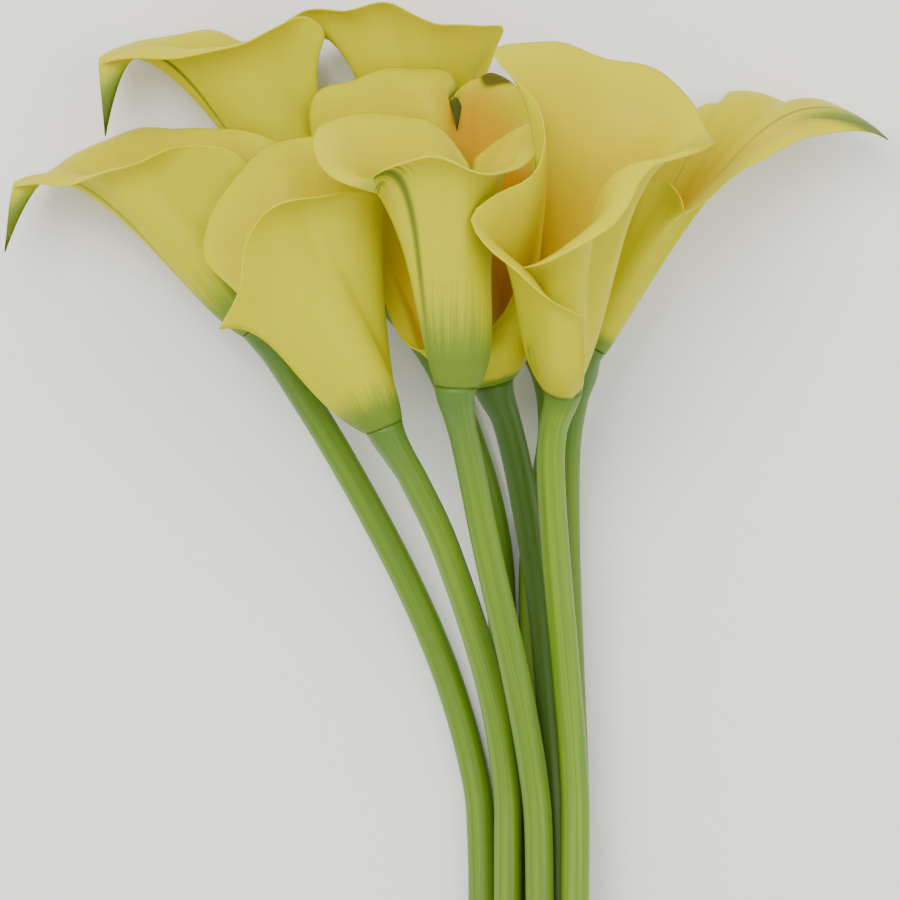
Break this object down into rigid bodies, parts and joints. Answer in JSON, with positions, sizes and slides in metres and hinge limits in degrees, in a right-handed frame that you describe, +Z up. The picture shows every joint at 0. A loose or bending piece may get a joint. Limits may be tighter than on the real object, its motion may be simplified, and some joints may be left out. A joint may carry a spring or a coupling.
{
  "type": "calla lily bunch",
  "caption": "Bunch of yellow calla lilies lying on its side: rolled funnel spathes with drooping green tips, a spadix in each, and long smooth green stems gathered together.",
  "frame": {"origin": "centre of the bunch's outline seen from above, on the surface it lies on", "axes": "+Y along the stems from the cut ends to the blooms, +Z up from the surface, +X to the right as the bunch is seen from above"},
  "size_m": [0.356, 0.433, 0.1382],
  "materials": {
    "spathe": "satin",
    "spadix": "matte",
    "stem": "satin"
  },
  "bodies": {
    "root": {"spathe_front_middle": "spathe", "spadix_front_middle": "spadix", "stem_front_middle": "stem", "spathe_front_left": "spathe", "spadix_front_left": "spadix", "stem_front_left": "stem", "spathe_front_right": "spathe", "spadix_front_right": "spadix", "stem_front_right": "stem", "spathe_left": "spathe", "spadix_left": "spadix", "stem_left": "stem", "spathe_right": "spathe", "spadix_right": "spadix", "stem_right": "stem", "spathe_back_left": "spathe", "spadix_back_left": "spadix", "stem_back_left": "stem", "spathe_back_middle": "spathe", "spadix_back_middle": "spadix", "stem_back_middle": "stem", "spathe_middle": "spathe", "spadix_middle": "spadix", "stem_middle": "stem"}
  },
  "joints": []
}
